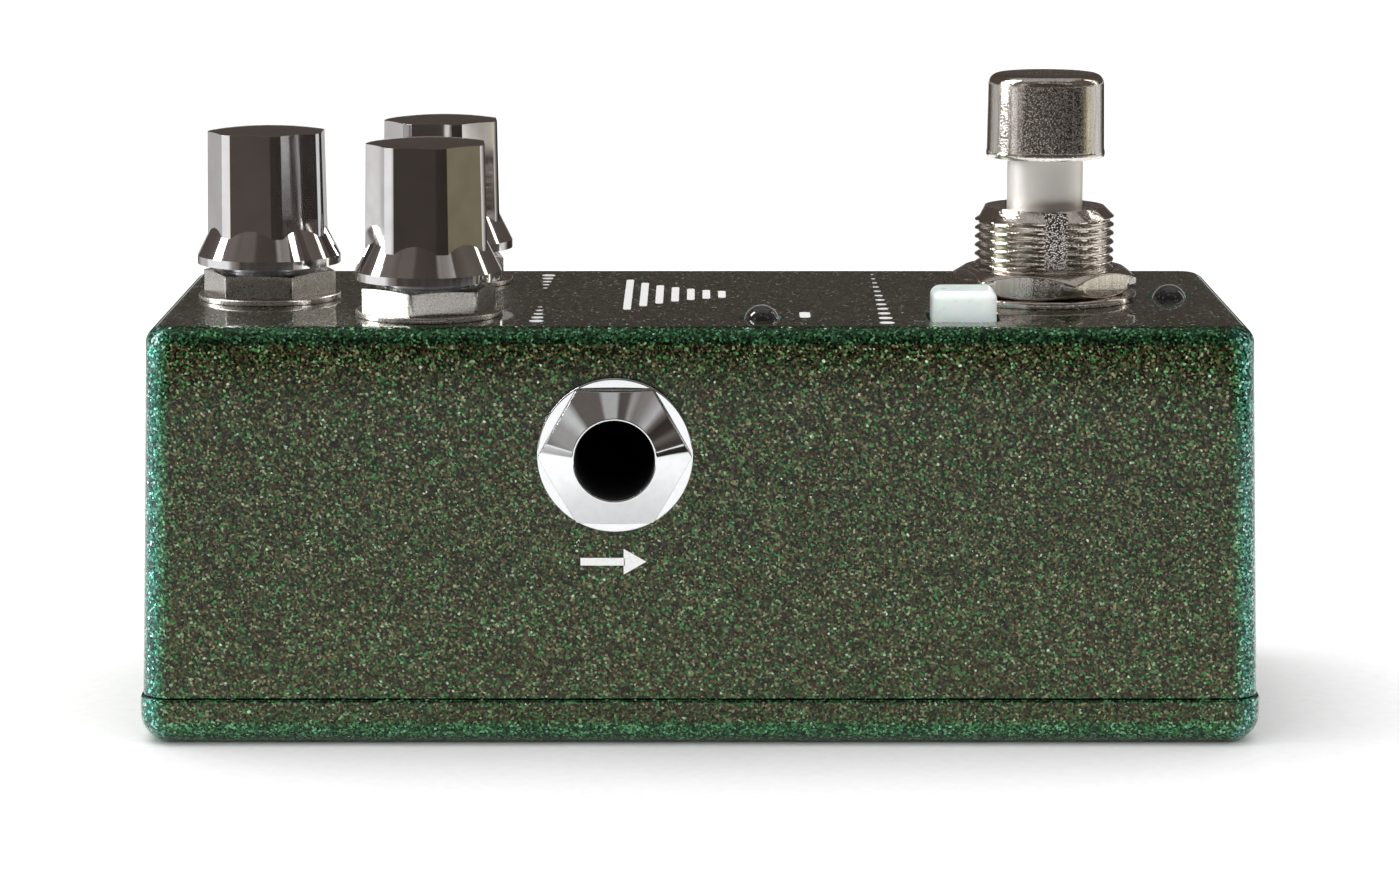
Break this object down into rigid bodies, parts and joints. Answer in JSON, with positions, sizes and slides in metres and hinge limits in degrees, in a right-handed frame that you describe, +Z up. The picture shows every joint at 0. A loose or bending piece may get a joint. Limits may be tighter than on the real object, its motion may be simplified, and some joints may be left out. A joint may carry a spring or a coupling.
{
  "type": "guitar effects pedal",
  "caption": "Compact effects pedal: drafted die-cast box with a screwed lid, knobs, a sprung footswitch, a lit mode button, audio jacks and a power inlet.",
  "frame": {"origin": "centre of the bottom face, on the table", "axes": "+Z up; +X along the length, from the knobs to the footswitch; -Y towards the output jack's wall"},
  "size_m": [0.0938, 0.0438, 0.0546],
  "materials": {
    "sparkle_paint": "gloss metal-flake lacquer",
    "knob_chrome": "bright plated",
    "bright_nickel": "bright plated",
    "satin_nickel": "satin plated",
    "mirror_chrome": "mirror plated",
    "dark_plastic": "matt moulded",
    "milky_plastic": "translucent moulded",
    "lamp_lens": "clear moulded",
    "board_laminate": "solder mask",
    "brown_laminate": "pressed laminate",
    "contact_metal": "plated",
    "zinc_steel": "zinc plated"
  },
  "bodies": {
    "chassis": {"enclosure": "sparkle_paint", "bottom_lid": "sparkle_paint", "lid_screws": "zinc_steel", "main_board": "board_laminate", "control_board": "board_laminate", "switch_board": "board_laminate", "control_headers": "dark_plastic", "switch_headers": "dark_plastic", "chips": "dark_plastic", "capacitors": "dark_plastic", "out_jack_body": "dark_plastic", "out_jack_springs": "contact_metal", "out_jack_nut": "mirror_chrome", "out_jack_washer": "mirror_chrome", "in_jack_body": "dark_plastic", "in_jack_springs": "contact_metal", "in_jack_nut": "mirror_chrome", "in_jack_washer": "mirror_chrome", "dc_jack_body": "dark_plastic", "dc_jack_pin": "bright_nickel", "dc_jack_spring": "contact_metal", "mix_pot": "zinc_steel", "repeats_pot": "zinc_steel", "time_pot": "zinc_steel", "pot_pins": "contact_metal", "pot_nuts": "satin_nickel", "pot_washers": "satin_nickel", "footswitch_body": "bright_nickel", "footswitch_block": "brown_laminate", "footswitch_lugs": "contact_metal", "footswitch_nut": "bright_nickel", "footswitch_washer": "bright_nickel", "footswitch_lock_washer": "zinc_steel", "footswitch_spring": "zinc_steel", "mode_switch_body": "dark_plastic", "status_led": "lamp_lens", "mode_led": "lamp_lens", "led_legs": "contact_metal"},
    "mix_control": {"mix_knob": "knob_chrome", "mix_shaft": "zinc_steel"},
    "repeats_control": {"repeats_knob": "knob_chrome", "repeats_shaft": "zinc_steel"},
    "time_control": {"time_knob": "knob_chrome", "time_shaft": "zinc_steel"},
    "footswitch_plunger": {"footswitch_cap": "bright_nickel", "footswitch_shaft": "satin_nickel"},
    "mode_key": {"mode_button": "milky_plastic", "mode_plunger": "milky_plastic"}
  },
  "joints": [
    {"name": "mix_turn", "type": "hinge", "parent": "chassis", "child": "mix_control", "pos_m": [-0.0372, 0, 0.0383], "axis": [0, 0, 1], "range_deg": [-150, 150]},
    {"name": "repeats_turn", "type": "hinge", "parent": "chassis", "child": "repeats_control", "pos_m": [-0.0228, -0.0104, 0.0383], "axis": [0, 0, 1], "range_deg": [-150, 150]},
    {"name": "time_turn", "type": "hinge", "parent": "chassis", "child": "time_control", "pos_m": [-0.0228, 0.0104, 0.0383], "axis": [0, 0, 1], "range_deg": [-150, 150]},
    {"name": "footswitch_press", "type": "slide", "parent": "chassis", "child": "footswitch_plunger", "axis": [0, 0, -1], "range_m": [0, 0.003], "stiffness_N_per_m": 2500, "springref_m": -0.004, "deforming": ["footswitch_spring"]},
    {"name": "mode_press", "type": "slide", "parent": "chassis", "child": "mode_key", "axis": [0, 0, -1], "range_m": [0, 0.0012], "stiffness_N_per_m": 1000, "springref_m": -0.001}
  ]
}
